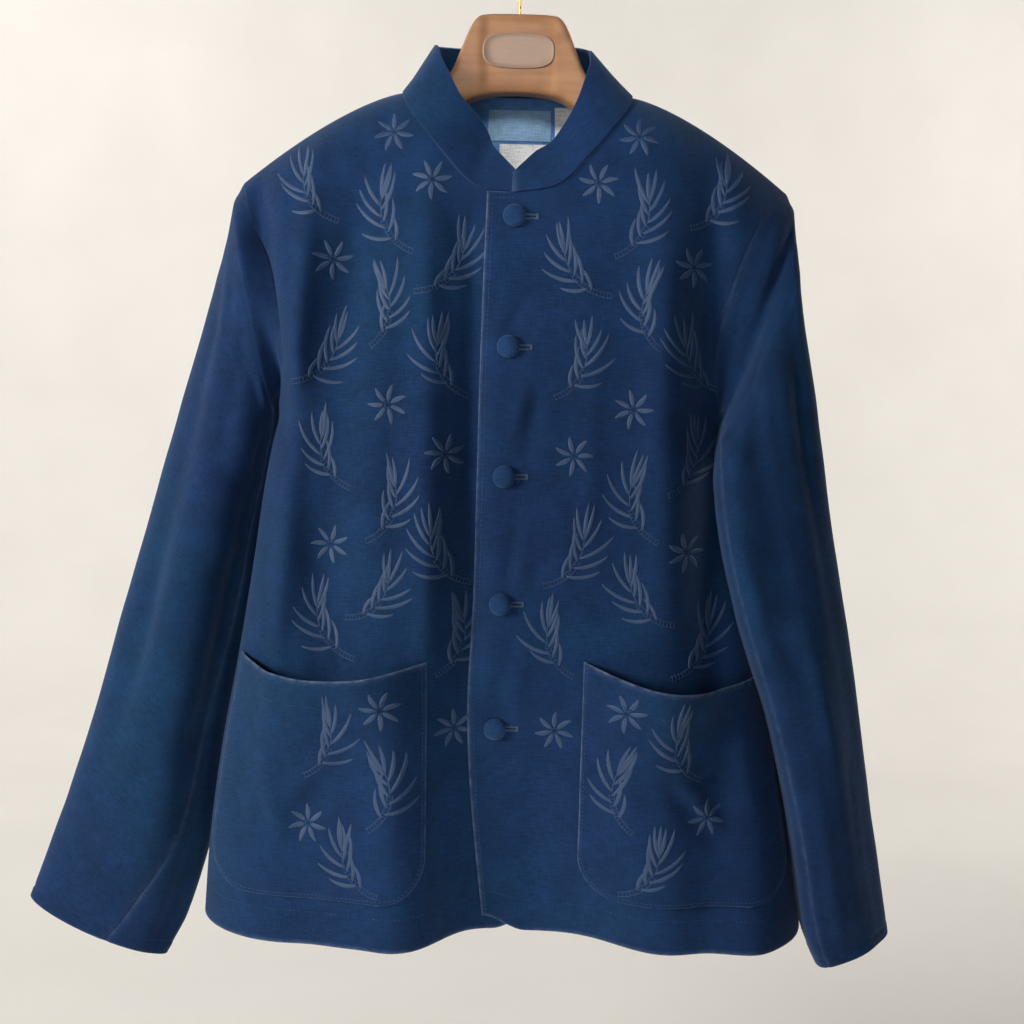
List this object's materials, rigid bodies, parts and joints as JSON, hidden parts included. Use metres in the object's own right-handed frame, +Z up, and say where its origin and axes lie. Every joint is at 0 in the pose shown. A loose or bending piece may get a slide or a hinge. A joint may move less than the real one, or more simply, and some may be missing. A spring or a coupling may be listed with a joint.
{
  "type": "mandarin collar jacket on a hanger",
  "caption": "Hip-length cloth jacket with a stand collar, covered buttons and two patch pockets, hanging buttoned up on a broad-shouldered hanger with a wire hook.",
  "frame": {"origin": "the point inside the hook's crook where a rail carries the hanger", "axes": "+Z up, +X to the wearer's left, the front of the jacket faces -Y"},
  "size_m": [0.7238, 0.1686, 0.8553],
  "materials": {
    "indigo_cloth": "brushed cotton, matte with a soft sheen",
    "facing_cloth": "plain cotton facing",
    "label_blue": "woven label, blank",
    "label_white": "woven label, blank",
    "hanger_brown": "stained and lacquered",
    "plate_brown": "blank oval plate, satin",
    "brass_wire": "polished wire"
  },
  "bodies": {
    "root": {"front_right": "indigo_cloth", "front_left": "indigo_cloth", "back": "indigo_cloth", "sleeve_right_top": "indigo_cloth", "sleeve_right_forearm": "indigo_cloth", "sleeve_right_under": "indigo_cloth", "sleeve_left_top": "indigo_cloth", "sleeve_left_forearm": "indigo_cloth", "sleeve_left_under": "indigo_cloth", "collar": "indigo_cloth", "pocket_right": "indigo_cloth", "pocket_left": "indigo_cloth", "button_1": "indigo_cloth", "button_2": "indigo_cloth", "button_3": "indigo_cloth", "button_4": "indigo_cloth", "button_5": "indigo_cloth", "back_facing": "facing_cloth", "label_main": "label_blue", "label_size": "label_white", "label_tab": "label_white", "hanger": "hanger_brown", "hanger_plate": "plate_brown", "hook": "brass_wire"}
  },
  "joints": []
}
